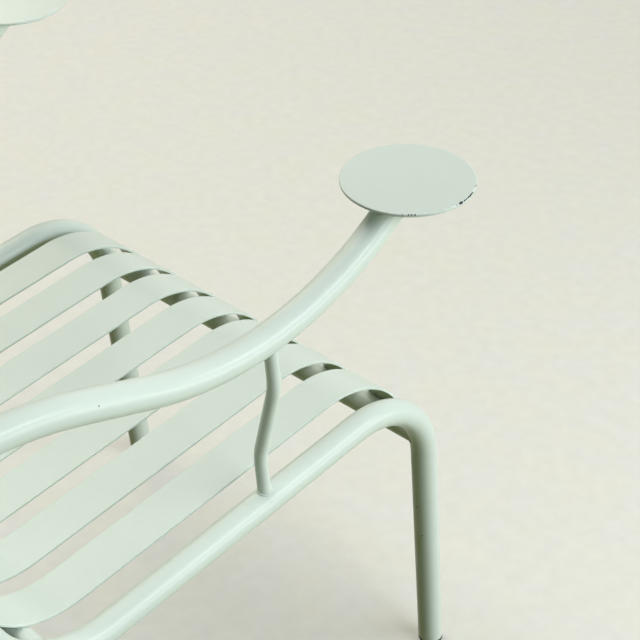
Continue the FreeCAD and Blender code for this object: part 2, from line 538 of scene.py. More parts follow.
def fit(piece: Piece, finish: Material, node: str = "") -> None:
    """Gives a finished piece its finish, hangs it on the frame and reports it.

    Args:
        piece: The finished piece.
        finish: Its material.
        node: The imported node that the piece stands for, if any.
    """
    take_up(piece)
    piece.data.materials.clear()
    piece.data.materials.append(finish)
    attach(piece, "root")
    away = 0.0
    if node:
        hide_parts(node)
        corners = [Vector(at) for at in piece.bound_box]
        low, high = (Vector(at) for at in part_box(node))
        lowest = Vector(min(at[axis] for at in corners) for axis in range(3))
        highest = Vector(max(at[axis] for at in corners) for axis in range(3))
        away = max((lowest - low).length, (highest - high).length)
    faces = len(piece.data.polygons)
    log.info("%-28s %6d faces, %.2f mm from %s", piece.name, faces, away * 1000, node or "no node")
    clear_bench()


# Welds


@dataclass(frozen=True)
class Weld:
    """Bead of weld along a line, rippled and then painted over."""

    size: float = 0.0034
    ripple: float = 0.0021
    step: float = 0.0007
    swell: float = 0.10
    uneven: float = 0.4
    points: int = 5
    sink: float = 0.0008
    touch: float = 0.0078

    def lay(self, name: str, line: list[Vector], closed: bool = False) -> Piece:
        """Lays a bead.

        Args:
            name: The bead's name, which also sets how uneven it is.
            line: Points that it follows.
            closed: Whether its end joins its start.

        Returns:
            The bead.
        """
        chance = random.Random(name)
        curve = bpy.data.curves.new(name, "CURVE")
        curve.dimensions = "3D"
        curve.bevel_depth = self.size / 2
        curve.bevel_resolution = self.points
        curve.use_fill_caps = True
        spline = curve.splines.new("POLY")
        spline.points.add(len(line) - 1)
        spline.use_cyclic_u = closed
        ends = () if closed else (0, len(line) - 1)
        for number, (knot, at) in enumerate(zip(spline.points, line)):
            knot.co = (*at, 1.0)
            wave = math.sin(2 * math.pi * number * self.step / self.ripple)
            swollen = 1.0 + self.swell * (wave + chance.uniform(-self.uneven, self.uneven))
            knot.radius = swollen / 2 if number in ends else swollen
        bead = bpy.data.objects.new(name, curve)
        bpy.context.scene.collection.objects.link(bead)
        take_up(bead)
        bpy.ops.object.convert(target="MESH")
        piece = bpy.context.object
        smooth(piece, crease=80.0)
        return piece

    def round_bar(
        self, name: str, bar: tuple[Vector, Vector, float], main: tuple[Vector, Vector, float]
    ) -> Piece:
        """Lays a bead round the end of a bar that stands on the side of a tube.

        Args:
            name: The bead's name.
            bar: A point of the bar's axis, its direction away from the tube, and its diameter.
            main: A point of the tube's axis, its direction, and its diameter.

        Returns:
            The bead, which is open where the bar passes the tube by.
        """
        bar_at, away, bar_size = bar
        main_at, along, main_size = main
        first = away.orthogonal().normalized()
        second = away.cross(first)
        slant = away - along * away.dot(along)
        count = round(math.pi * bar_size / self.step)
        line: list[Vector] = []
        resumed = 0
        for number in range(count):
            turned = 2 * math.pi * number / count
            start = bar_at + (first * math.cos(turned) + second * math.sin(turned)) * (bar_size / 2)
            off = start - main_at
            off -= along * off.dot(along)
            lean = off.dot(slant)
            inside = lean**2 - slant.length_squared * (off.length_squared - main_size**2 / 4)
            if inside < 0:
                resumed = len(line)
            else:
                line.append(start + away * ((math.sqrt(inside) - lean) / slant.length_squared))
        return self.lay(name, line[resumed:] + line[:resumed], closed=len(line) == count)

    def round_touch(self, name: str, at: Vector) -> Piece:
        """Lays a bead round the spot where two tubes touch as they cross side by side.

        Args:
            name: The bead's name.
            at: The spot, midway between the tubes.

        Returns:
            The bead.
        """
        count = round(2 * math.pi * self.touch / self.step)
        ring = [at + heading(360 * number / count) * self.touch for number in range(count)]
        return self.lay(name, ring, closed=True)

    def under_plate(self, name: str, at: Vector, slope: float, bar_size: float) -> Piece:
        """Lays a bead round a sloping bar that ends level under a plate.

        Args:
            name: The bead's name.
            at: Where the bar's axis meets the plate.
            slope: Angle of the bar.
            bar_size: Its diameter.

        Returns:
            The bead.
        """
        stretch = 1 / abs(math.sin(math.radians(slope)))
        count = round(math.pi * bar_size * stretch / self.step)
        turns = [2 * math.pi * number / count for number in range(count)]
        oval = [Vector((math.cos(turn), math.sin(turn) * stretch, 0.0)) for turn in turns]
        return self.lay(name, [at + place * (bar_size / 2) for place in oval], closed=True)

    def across(self, name: str, at: Vector, length: float) -> Piece:
        """Lays a straight bead across the chair.

        Args:
            name: The bead's name.
            at: The bead's middle.
            length: Its length.

        Returns:
            The bead.
        """
        first = at - ACROSS * (length / 2)
        line = [first + ACROSS * (number * self.step) for number in range(round(length / self.step))]
        return self.lay(name, line)


SEAM_WELD = Weld()
ROD_WELD = Weld(size=0.0026)
TUBE_WELD = Weld(size=0.0020)


# Pieces of the chair


@dataclass
class SideFrame:
    """One bent tube from the front foot over the seat and back to the rear foot."""

    view: SideView
    side: Side
    socket: float = 0.034

    def swept(self, name: str, diameter: float) -> Piece:
        """Sweeps a bar along the whole side, carried on below the floor at both feet.

        Args:
            name: The bar's name.
            diameter: Its diameter.

        Returns:
            The closed bar.
        """
        view = self.view
        spare = view.stock.tube
        sweep = Sweep(view.rail(self.side), view.stock, view.front_foot - heading(view.leg_up) * spare)
        piece = sweep.ring(name, diameter, view.leg_up, view.stock.tube_points)
        sweep.run_to(view.front_bend.start())
        sweep.turn(view.front_bend)
        sweep.run_to(view.seat_bend.start())
        sweep.turn(view.seat_bend)
        sweep.run_to(view.top_bend.start())
        sweep.turn(view.top_bend)
        sweep.run_to(view.rear_foot + heading(view.leg_down) * spare)
        close_ends()
        return piece

    def bar(self) -> Piece:
        """Bar a weld gap larger than the tube, to cope other pieces with."""
        return self.swept("cope_" + self.side.value, self.view.stock.tube + 2 * self.view.stock.weld_gap)

    def build(self) -> Piece:
        """Makes the tube, cut level at both feet and bored there for its plugs.

        Returns:
            The finished tube.
        """
        view = self.view
        piece = self.swept(f"side_frame_{self.side.value}_tube", view.stock.tube)
        open_up(piece)
        pad = view.sizes.foot_pad
        bpy.ops.mesh.bisect(plane_co=UP * pad, plane_no=UP, clear_inner=True, use_fill=True)
        skin = view.stock.wall / 4
        for front, inward in ((True, heading(view.leg_up)), (False, heading(view.leg_down + 180))):
            pick(piece, lambda at: abs(at.z - pad) < skin and (at.y < 0) == front)
            bpy.ops.mesh.inset(thickness=view.stock.wall)
            extrude(inward * self.socket)
        close_up()
        smooth(piece)
        return piece

    def dress(self, paint: Material) -> None:
        """Builds the tube and paints it."""
        fit(self.build(), paint, f"side_frame_{self.side.value}")


@dataclass
class FootGlide:
    """Moulded plug in one foot, with a level pad that stands on the floor."""

    view: SideView
    side: Side
    front: bool
    stem: float = 0.022
    clearance: float = 0.00015
    edge: float = 0.0015
    sole: float = 0.0045
    dish: float = 0.0008

    def build(self, name: str) -> Piece:
        """Makes the plug.

        Args:
            name: The plug's name.

        Returns:
            The finished plug.
        """
        view = self.view
        up = heading(view.leg_up) if self.front else heading(view.leg_down + 180)
        foot = view.front_foot if self.front else view.rear_foot
        sweep = Sweep(view.rail(self.side), view.stock, foot - up * view.stock.tube)
        piece = sweep.ring(name, view.stock.tube, angle_of(up), view.stock.tube_points)
        sweep.run_to(foot + up * view.stock.tube)
        close_ends()
        open_up(piece)
        bpy.ops.mesh.bisect(plane_co=Vector(), plane_no=UP, clear_inner=True, use_fill=True)
        bpy.ops.mesh.select_all(action="SELECT")
        pad = view.sizes.foot_pad
        bpy.ops.mesh.bisect(plane_co=UP * pad, plane_no=UP, clear_outer=True, use_fill=True)
        skin = self.clearance / 2
        pick(piece, lambda at: at.z > pad - skin)
        bpy.ops.mesh.inset(thickness=view.stock.wall + self.clearance)
        extrude(up * self.stem)
        bpy.ops.mesh.bevel(offset=self.edge, segments=2)
        pick(piece, lambda at: at.z < skin)
        bpy.ops.mesh.bevel(offset=self.edge, segments=4)
        pick(piece, lambda at: at.z < skin)
        bpy.ops.mesh.inset(thickness=self.sole)
        extrude(UP * self.dish)
        close_up()
        smooth(piece)
        return piece

    def dress(self, plastic: Material) -> None:
        """Builds the plug and colours it."""
        node = f"foot_glide_{'front' if self.front else 'rear'}_{self.side.value}"
        fit(self.build(node + "_plug"), plastic, node)


@dataclass
class SlatRow:
    """Bent flat strips side by side between the side frames, from the front cross tube to the top."""

    view: SideView
    count: int = 7
    drop: float = 0.0015
    corner: float = 0.008
    top_lip: float = 120.0
    edge: float = 0.0008
    tip: float = 0.0100
    tack: float = 0.026
    tack_aside: float = 0.006
    seam_turn: float = 2.8

    @property
    def face(self) -> float:
        """Offset of the slats' upper face from the centre line of the side frame."""
        return self.view.stock.tube / 2 - self.drop

    @property
    def underside(self) -> float:
        """Offset of the slats' lower face."""
        return self.face - self.view.stock.slat_thick

    def middles(self) -> list[float]:
        """X of the middle of each slat, from the sitter's left, with equal gaps between all."""
        stock = self.view.stock
        room = self.view.sizes.rail_spacing - stock.tube
        pitch = stock.slat_width + (room - self.count * stock.slat_width) / (self.count + 1)
        return [((self.count - 1) / 2 - number) * pitch for number in range(self.count)]

    def strip(self, name: str, middle: float) -> Piece:
        """Sweeps the upper face of a slat, with the corners of its top end rounded.

        Args:
            name: The slat's name.
            middle: X of its middle.

        Returns:
            The face as an open sheet, with its outer side up.
        """
        view = self.view
        front, seat, top = view.front_bend, view.seat_bend, view.top_bend
        first_turn = view.sizes.front_cross_turn
        top_tip = math.degrees(self.tip / (top.radius + self.face))
        sweep = Sweep(middle, view.stock, front.point(first_turn, self.face))
        piece = sweep.edge(name, view.stock.slat_width, cuts=3)
        sweep.turn(front, self.face, first_turn)
        sweep.run_to(seat.start(self.face))
        sweep.turn(seat, self.face)
        sweep.run_to(top.start(self.face))
        sweep.turn(top, self.face, 0.0, self.top_lip - top_tip)
        sweep.turn(top, self.face, self.top_lip - top_tip, self.top_lip, steps=1)
        last = sweep.at
        half = view.stock.slat_width / 2 - self.edge
        near = self.tip / 4

        def at_corner(at: Vector) -> bool:
            """Whether a point is one of the two top corners of the sheet."""
            return abs(at.x - middle) > half and (Vector((0, at.y, at.z)) - last).length < near

        pick(piece, at_corner)
        bpy.ops.mesh.bevel(offset=self.corner, segments=6, affect="VERTICES")
        bpy.ops.mesh.select_all(action="SELECT")
        bpy.ops.mesh.normals_make_consistent(inside=False)
        close_up()
        widest = max(piece.data.polygons, key=lambda face: face.area)
        if widest.normal.z < 0:
            open_up(piece)
            bpy.ops.mesh.flip_normals()
            close_up()
        return piece

    def build(self, number: int, middle: float, front_bar: Piece) -> Piece:
        """Makes one slat.

        Args:
            number: Its place in the row, from 1.
            middle: X of its middle.
            front_bar: The bar of the front cross tube, which its end is coped to.

        Returns:
            The finished slat.
        """
        piece = self.strip(f"slat_{number}_strip", middle)
        apply(piece, "SOLIDIFY", thickness=self.view.stock.slat_thick, offset=-1.0, use_even_offset=True)
        ease_edges(piece, self.edge)
        cope(piece, front_bar)
        settle(piece)
        return piece

    def tacks(self, weld: Weld, tube: "CrossTube") -> list[Piece]:
        """Lays the beads that hold the slats on a tube under them, two for each slat.

        Args:
            weld: How the beads are laid.
            tube: The tube.

        Returns:
            The beads.
        """
        beads = []
        for hand in (-1, 1):
            turned = tube.turned + hand * math.degrees(self.tack_aside / tube.bend.radius)
            at = tube.bend.point(turned, self.underside - weld.sink)
            for number, middle in enumerate(self.middles()):
                beads.append(weld.across(f"{tube.name}_{number}_{hand}", at + ACROSS * middle, self.tack))
        return beads

    def seams(self, weld: Weld) -> list[Piece]:
        """Lays the beads between the slats' ends and the front cross tube, nearly flush with both.

        Args:
            weld: How the beads are laid.

        Returns:
            The beads.
        """
        view = self.view
        at = view.front_bend.point(view.sizes.front_cross_turn + self.seam_turn, self.face - weld.sink)
        length = view.stock.slat_width - 2 * self.edge
        middles = enumerate(self.middles())
        return [weld.across(f"seam_{number}", at + ACROSS * middle, length) for number, middle in middles]

    def dress(self, front_bar: Piece, paint: Material) -> None:
        """Builds the row and paints it."""
        for number, middle in enumerate(self.middles(), start=1):
            fit(self.build(number, middle, front_bar), paint, f"slat_{number}")


@dataclass
class CrossTube:
    """Straight tube across the chair in one bend of the side frames, coped to both."""

    view: SideView
    name: str
    bend: Bend
    turned: float
    offset: float = 0.0
    end_run: float = 0.030

    @property
    def axis(self) -> Vector:
        """Middle of the tube."""
        return self.bend.point(self.turned, self.offset)

    def straight(self, name: str, diameter: float) -> Piece:
        """Draws a bar along the tube, which ends inside both side frames.

        Args:
            name: The bar's name.
            diameter: Its diameter.

        Returns:
            The closed bar.
        """
        stock = self.view.stock
        half = self.view.sizes.rail_spacing / 2 - stock.tube / 8
        clear_bench()
        bpy.ops.mesh.primitive_circle_add(
            vertices=stock.tube_points,
            radius=diameter / 2,
            location=self.axis - ACROSS * half,
            rotation=(0, math.radians(90), 0),
        )
        piece = start_piece(name)
        for length in (self.end_run, 2 * (half - self.end_run), self.end_run):
            extrude(ACROSS * length)
        close_ends()
        return piece

    def bar(self) -> Piece:
        """Bar a weld gap larger than the tube, to cope other pieces with."""
        return self.straight("cope_" + self.name, self.view.stock.cross + 2 * self.view.stock.weld_gap)

    def build(self, bars: list[Piece]) -> Piece:
        """Makes the tube.

        Args:
            bars: The bars that its ends are coped to.

        Returns:
            The finished tube.
        """
        piece = self.straight(self.name + "_pipe", self.view.stock.cross)
        for bar in bars:
            cope(piece, bar)
        smooth(piece)
        return piece

    def welds(self, weld: Weld) -> list[Piece]:
        """Welds the tube to both side frames.

        Args:
            weld: How the beads are laid.

        Returns:
            The beads.
        """
        stock = self.view.stock
        along = heading(self.bend.arrive + self.bend.hand * self.turned)
        beads = []
        for side in Side:
            rail = ACROSS * self.view.rail(side)
            bar = (self.axis + rail, ACROSS * -side.sign, stock.cross)
            main = (self.bend.point(self.turned) + rail, along, stock.tube)
            beads.append(weld.round_bar(f"{self.name}_{side.value}", bar, main))
        return beads

    def dress(
        self, bars: list[Piece], beads: list[Piece], paint: Material
    ) -> None:
        """Builds the tube and paints it together with its beads."""
        fit(self.build(bars), paint, self.name)
        fit(join("weld_" + self.name, beads), paint)


@dataclass
class Arm:
    """Bent arm tube, from under the round plate back past the stile."""

    view: SideView
    side: Side
    reach: float = 0.055
    end_edge: float = 0.0015

    def swept(self, name: str, diameter: float) -> Piece:
        """Sweeps a bar along the arm, carried on above the plate.

        Args:
            name: The bar's name.
            diameter: Its diameter.

        Returns:
            The closed bar.
        """
        view = self.view
        slope = -view.sizes.arm_front_slope
        sweep = Sweep(view.arm_line(self.side), view.stock, view.arm_front - heading(slope) * self.reach)
        piece = sweep.ring(name, diameter, slope, view.stock.tube_points)
        sweep.run_to(view.arm_front)
        sweep.turn(view.arm_sweep)
        sweep.run_to(view.arm_ease.start())
        sweep.turn(view.arm_ease)
        sweep.run_to(view.arm_end)
        close_ends()
        return piece

    def bar(self) -> Piece:
        """Bar a weld gap larger than the arm, to cope its stay with."""
        return self.swept("cope_arm_" + self.side.value, self.view.stock.tube + 2 * self.view.stock.weld_gap)

    def build(self) -> Piece:
        """Makes the arm, cut level under the plate and rounded at its closed rear end.

        Returns:
            The finished arm.
        """
        view = self.view
        piece = self.swept(f"arm_{self.side.value}_tube", view.stock.tube)
        open_up(piece)
        pick(piece, lambda at: at.y < view.arm_front.y + self.reach)
        bpy.ops.mesh.bisect(plane_co=view.arm_front, plane_no=UP, clear_outer=True, use_fill=True)
        backward = heading(view.sizes.arm_end_slope)
        pick(piece, lambda at: (at - view.arm_end).dot(backward) > -self.end_edge)
        bpy.ops.mesh.bevel(offset=self.end_edge, segments=4)
        close_up()
        settle(piece, crease=40.0)
        return piece

    def welds(self, weld: Weld) -> Piece:
        """Welds the arm to the stile and to its plate.

        Args:
            weld: How the beads are laid.

        Returns:
            Both beads as one piece.
        """
        view = self.view
        under = view.arm_front + ACROSS * view.arm_line(self.side)
        between = ACROSS * ((view.rail(self.side) + view.arm_line(self.side)) / 2)
        name = f"weld_arm_{self.side.value}"
        beads = [
            weld.round_touch(name + "_rear", view.arm_beside_stile + between),
            weld.under_plate(name + "_front", under, view.sizes.arm_front_slope, view.stock.tube),
        ]
        return join(name, beads)

    def dress(self, weld: Weld, paint: Material) -> None:
        """Builds the arm and its welds and paints them."""
        fit(self.build(), paint, f"arm_{self.side.value}")
        fit(self.welds(weld), paint)


@dataclass
class ArmDisc:
    """Flat round plate on the front end of an arm."""

    view: SideView
    side: Side
    diameter: float = 0.1225
    edge: float = 0.0008
    border: float = 0.004
    points: int = 144

    @property
    def top(self) -> Vector:
        """Middle of the upper face."""
        lifted = self.view.arm_front + UP * self.view.sizes.disc_thick
        return lifted + ACROSS * self.view.arm_line(self.side)

    def build(self) -> Piece:
        """Makes the plate.

        Returns:
            The finished plate.
        """
        clear_bench()
        bpy.ops.mesh.primitive_circle_add(
            vertices=self.points, radius=self.diameter / 2, fill_type="NGON", location=self.top
        )
        piece = start_piece(f"arm_disc_{self.side.value}_plate")
        bpy.ops.mesh.inset(thickness=self.border)
        bpy.ops.mesh.select_all(action="SELECT")
        extrude(UP * -self.view.sizes.disc_thick)
        bpy.ops.mesh.select_all(action="SELECT")
        bpy.ops.mesh.normals_make_consistent(inside=False)
        close_up()
        ease_edges(piece, self.edge)
        return piece

    def dress(self, paint: Material) -> None:
        """Builds the plate and paints it."""
        fit(self.build(), paint, f"arm_disc_{self.side.value}")


@dataclass
class ArmStay:
    """Rod square to the seat rail that carries the arm, jogged outwards on its way up."""

    view: SideView
    side: Side
    setback: float = 0.2285
    jog_middle: float = 0.1093
    jog_height: float = 0.0965
    bend: float = 0.075

    @property
    def rise(self) -> Vector:
        """Direction of the rod's straight ends, upwards."""
        return heading(self.view.rail_back + 90)

    @property
    def foot(self) -> Vector:
        """Where the rod's line meets that of the seat rail."""
        view = self.view
        below = Vector((0, view.front_corner.y + self.setback, 0))
        return meeting(view.front_corner, view.rail_back, below, 90) + ACROSS * view.rail(self.side)

    @property
    def height(self) -> float:
        """Length of the rod from the rail's line up to the arm's."""
        sweep = self.view.arm_sweep
        away = self.foot - sweep.centre
        away.x = 0.0
        lean = away.dot(self.rise)
        return -lean - math.sqrt(lean**2 - away.length_squared + sweep.radius**2)

    @property
    def top(self) -> Vector:
        """Where the rod's line meets that of the arm."""
        return self.foot + self.rise * self.height + ACROSS * (self.side.sign * self.view.arm_aside)

    def flat(self, name: str) -> Piece:
        """Sweeps the rod as it lies flat on the bench, with its foot at the origin and its jog along Y.

        Args:
            name: The rod's name.

        Returns:
            The closed rod.
        """
        stock, aside = self.view.stock, self.view.arm_aside
        lower_corner = UP * (self.jog_middle - self.jog_height / 2)
        upper_corner = Vector((0, aside, self.jog_middle + self.jog_height / 2))
        slant = angle_of(upper_corner - lower_corner)
        lower = Bend.at_corner(lower_corner, 90, slant, self.bend)
        upper = Bend.at_corner(upper_corner, slant, 90, self.bend)
        sweep = Sweep(0.0, stock, Vector())
        piece = sweep.ring(name, stock.rod, 90, stock.rod_points)
        sweep.run_to(lower.start())
        sweep.turn(lower)
        sweep.run_to(upper.start())
        sweep.turn(upper)
        sweep.run_to(Vector((0, aside, self.height)))
        close_ends()
        return piece

    def build(self, arm_bar: Piece, frame_bar: Piece) -> Piece:
        """Makes the rod, stood on the rail and coped to it and to the arm.

        Args:
            arm_bar: The bar of the arm.
            frame_bar: The bar of the side frame.

        Returns:
            The finished rod.
        """
        piece = self.flat(f"arm_stay_{self.side.value}_rod")
        outwards = Matrix.Rotation(math.radians(-90 * self.side.sign), 4, "Z")
        leaning = Matrix.Rotation(math.radians(self.view.rail_back), 4, "X")
        take_up(piece)
        piece.matrix_world = Matrix.Translation(self.foot) @ leaning @ outwards
        bpy.ops.object.transform_apply(location=True, rotation=True, scale=True)
        cope(piece, arm_bar)
        cope(piece, frame_bar)
        smooth(piece)
        return piece

    def welds(self, weld: Weld) -> Piece:
        """Welds the rod to the arm and to the rail.

        Args:
            weld: How the beads are laid.

        Returns:
            Both beads as one piece.
        """
        view = self.view
        rod, tube = view.stock.rod, view.stock.tube
        name = f"weld_arm_stay_{self.side.value}"
        arm_slope = angle_of(self.top - view.arm_sweep.centre) + 90
        arm = (self.top, heading(arm_slope), tube)
        rail = (self.foot, heading(view.rail_back), tube)
        beads = [
            weld.round_bar(name + "_top", (self.top, -self.rise, rod), arm),
            weld.round_bar(name + "_foot", (self.foot, self.rise, rod), rail),
        ]
        return join(name, beads)

    def dress(
        self, arm_bar: Piece, frame_bar: Piece, weld: Weld, paint: Material
    ) -> None:
        """Builds the rod and its welds and paints them."""
        fit(self.build(arm_bar, frame_bar), paint, f"arm_stay_{self.side.value}")
        fit(self.welds(weld), paint)


# Finishes


class NodeSheet:
    """Nodes of one material, with short ways to add and wire them.

    A cloudy pattern seldom leaves the numbers between CLOUD_LOW and CLOUD_HIGH.
    """

    CLOUD_LOW = 0.3
    CLOUD_HIGH = 0.7

    def __init__(self, name: str) -> None:
        """Starts a material around a Principled shader.

        Args:
            name: The material's name.
        """
        self.material = bpy.data.materials.new(name)
        self.material.use_nodes = True
        self.tree = self.material.node_tree
        self.shader = self.tree.nodes["Principled BSDF"]
        self.place = self.add("ShaderNodeTexCoord").outputs["Object"]

    def feed(self, socket: Socket, value: object) -> None:
        """Links an output to a socket, or sets the socket to a constant.

        Args:
            socket: The input to feed.
            value: The output or the constant.
        """
        if isinstance(value, Socket):
            self.tree.links.new(value, socket)
        else:
            socket.default_value = value

    def add(self, kind: str, settings: dict[str, object] | None = None, **inputs: object) -> bpy.types.Node:
        """Adds a node.

        Args:
            kind: Blender's name of the node's type.
            settings: Properties of the node.
            inputs: Constants or outputs for its sockets, by name.

        Returns:
            The node.
        """
        node = self.tree.nodes.new(kind)
        for key, value in (settings or {}).items():
            setattr(node, key, value)
        for key, value in inputs.items():
            self.feed(node.inputs[key.replace("_", " ")], value)
        return node

    def math(self, operation: str, *values: object) -> Socket:
        """Works out one number from others.

        Args:
            operation: Blender's name of the operation.
            values: The outputs or constants that it works on.

        Returns:
            The result.
        """
        node = self.add("ShaderNodeMath", {"operation": operation})
        for socket, value in zip(node.inputs, values):
            self.feed(socket, value)
        return node.outputs[0]

    def highest(self, values: list[object]) -> Socket:
        """Highest of two or more numbers, or the only one."""
        return functools.reduce(functools.partial(self.math, "MAXIMUM"), values)

    def cloud(self, size: float, detail: float = 2.0) -> Socket:
        """Cloudy pattern from 0 to 1 with patches about so many metres across."""
        node = self.add("ShaderNodeTexNoise", Vector=self.place, Scale=1 / size, Detail=detail)
        return node.outputs["Fac"]

    def spread(self, value: Socket, low: float, high: float) -> Socket:
        """Stretches the middle of a cloudy pattern from a low to a high number."""
        reach = {"From_Min": self.CLOUD_LOW, "From_Max": self.CLOUD_HIGH, "To_Min": low, "To_Max": high}
        return self.add("ShaderNodeMapRange", Value=value, **reach).outputs["Result"]

    def away_from(self, at: Place) -> Socket:
        """Works out the distance from a point.

        Args:
            at: The point.

        Returns:
            The distance.
        """
        node = self.add("ShaderNodeVectorMath", {"operation": "DISTANCE"})
        for socket, value in zip(node.inputs, (self.place, at)):
            self.feed(socket, value)
        return node.outputs["Value"]

    def blend(self, share: object, first: object, second: object) -> Socket:
        """Mixes two colours.

        Args:
            share: How much of the second there is, from 0 to 1.
            first: An output or a colour.
            second: Another.

        Returns:
            The mixture.
        """
        node = self.add("ShaderNodeMix", {"data_type": "RGBA"})
        sockets = {socket.identifier: socket for socket in node.inputs}
        self.feed(sockets["Factor_Float"], share)
        for key, colour in (("A_Color", first), ("B_Color", second)):
            self.feed(sockets[key], colour if isinstance(colour, Socket) else (*colour, 1.0))
        return next(socket for socket in node.outputs if socket.identifier == "Result_Color")

    def finish(self, colour: Socket, rough: Socket, sheen: float, height: Socket) -> Material:
        """Wires the shader.

        Args:
            colour: Colour of the surface.
            rough: Its roughness.
            sheen: How strongly it mirrors.
            height: Its relief in metres.

        Returns:
            The material.
        """
        bump = self.add("ShaderNodeBump", Strength=1.0, Distance=1.0, Height=height)
        inputs = {"Base Color": colour, "Roughness": rough, "Specular IOR Level": sheen}
        for key, value in {**inputs, "Normal": bump.outputs["Normal"]}.items():
            self.feed(self.shader.inputs[key], value)
        return self.material


@dataclass(frozen=True)
class RimChip:
    """Place on a plate's rim where the paint is knocked off.

    The bearing is measured at the plate's middle from the chair's right, anticlockwise from above.
    """

    bearing: float
    half: float
    bite: float


@dataclass(frozen=True)
class Speck:
    """Small knock in the paint, down to the primer."""

    at: Place
    size: float


LEG_SPECKS = (
    Speck((-0.25071, -0.43340, 0.22766), 0.0018),
    Speck((-0.25718, -0.43770, 0.18559), 0.0016),
)
ARM_SPECKS = (Speck((-0.29323, 0.00771, 0.65730), 0.0014),)
RIM_CHIPS = {
    Side.RIGHT: (
        RimChip(-0.8, 3.1, 0.0019),
        RimChip(3.8, 1.4, 0.0013),
        RimChip(12.4, 11.0, 0.0010),
        RimChip(29.4, 2.6, 0.0008),
        RimChip(-5.9, 0.7, 0.0009),
        RimChip(-44.2, 0.75, 0.0013),
        RimChip(-46.9, 0.65, 0.0012),
        RimChip(-49.4, 0.65, 0.0012),
        RimChip(-54.2, 0.6, 0.0009),
    ),
    Side.LEFT: (
        RimChip(168.0, 2.2, 0.0014),
        RimChip(151.0, 0.9, 0.0011),
        RimChip(119.0, 1.5, 0.0012),
        RimChip(64.0, 0.8, 0.0010),
        RimChip(-131.0, 1.1, 0.0012),
    ),
}


@dataclass(frozen=True)
class SatinPaint:
    """Pale grey-green satin powder paint over a dark primer."""

    name: str
    tint: Colour = (0.615, 0.690, 0.622)
    drift: float = 0.025
    drift_size: float = 0.16
    grain_size: float = 0.009
    grain_share: float = 0.35
    rough: float = 0.300
    rough_drift: float = 0.018
    gloss_size: float = 0.027
    sheen: float = 0.27
    peel_size: float = 0.0016
    peel: float = 0.000018
    wave_size: float = 0.030
    wave: float = 0.00008
    fleck_cell: float = 0.008
    fleck_size: float = 0.0005
    fleck_share: float = 0.05
    fleck_depth: float = 0.35
    primer: Colour = (0.022, 0.026, 0.036)
    primer_rough: float = 0.6
    film: float = 0.00012
    ragged_size: float = 0.0012
    ragged: tuple[float, float] = (0.6, 1.4)
    specks: tuple[Speck, ...] = ()

    def flecks(self, sheet: NodeSheet) -> Socket:
        """Marks sparse flecks of dust in the paint.

        Args:
            sheet: The material's nodes.

        Returns:
            1 on a fleck and 0 elsewhere.
        """
        cells = sheet.add("ShaderNodeTexVoronoi", Vector=sheet.place, Scale=1 / self.fleck_cell)
        chance = sheet.add("ShaderNodeSeparateColor", Color=cells.outputs["Color"]).outputs["Red"]
        chosen = sheet.math("LESS_THAN", chance, self.fleck_share)
        close = sheet.math("LESS_THAN", cells.outputs["Distance"], self.fleck_size / self.fleck_cell)
        return sheet.math("MULTIPLY", chosen, close)

    def coat(self, sheet: NodeSheet) -> Socket:
        """Colours the paint where it is whole.

        Args:
            sheet: The material's nodes.

        Returns:
            The colour, with its drift, grain and flecks.
        """
        pale = tuple(part * (1 + self.drift) for part in self.tint)
        deep = tuple(part * (1 - self.drift) for part in self.tint)
        patch = sheet.spread(sheet.cloud(self.drift_size), 0.0, 1 - self.grain_share)
        grain = sheet.spread(sheet.cloud(self.grain_size, detail=4.0), 0.0, self.grain_share)
        colour = sheet.blend(sheet.math("ADD", patch, grain), deep, pale)
        if self.fleck_share:
            fleck = sheet.math("MULTIPLY", self.flecks(sheet), self.fleck_depth)
            colour = sheet.blend(fleck, colour, self.primer)
        return colour

    def knocks(self, sheet: NodeSheet) -> Socket | None:
        """Marks where the paint is knocked off.

        Args:
            sheet: The material's nodes.

        Returns:
            1 on bare primer and 0 elsewhere, or nothing if all of the paint is whole.
        """
        if not self.specks:
            return None
        ragged = sheet.spread(sheet.cloud(self.ragged_size), *self.ragged)
        marks = []
        for speck in self.specks:
            reach = sheet.math("MULTIPLY", ragged, speck.size / 2)
            marks.append(sheet.math("LESS_THAN", sheet.away_from(speck.at), reach))
        return sheet.highest(marks)

    def material(self) -> Material:
        """Lays out the paint.

        Returns:
            The material.
        """
        sheet = NodeSheet(self.name)
        colour = self.coat(sheet)
        smoothest, roughest = self.rough - self.rough_drift, self.rough + self.rough_drift
        rough = sheet.spread(sheet.cloud(self.gloss_size), smoothest, roughest)
        peel = sheet.math("MULTIPLY", sheet.cloud(self.peel_size, detail=1.0), self.peel)
        height = sheet.math("MULTIPLY_ADD", sheet.cloud(self.wave_size, detail=1.0), self.wave, peel)
        bare = self.knocks(sheet)
        if bare is not None:
            colour = sheet.blend(bare, colour, self.primer)
            rough = sheet.math("MULTIPLY_ADD", bare, self.primer_rough - self.rough, rough)
            height = sheet.math("MULTIPLY_ADD", bare, -self.film, height)
        return sheet.finish(colour, rough, self.sheen, height)


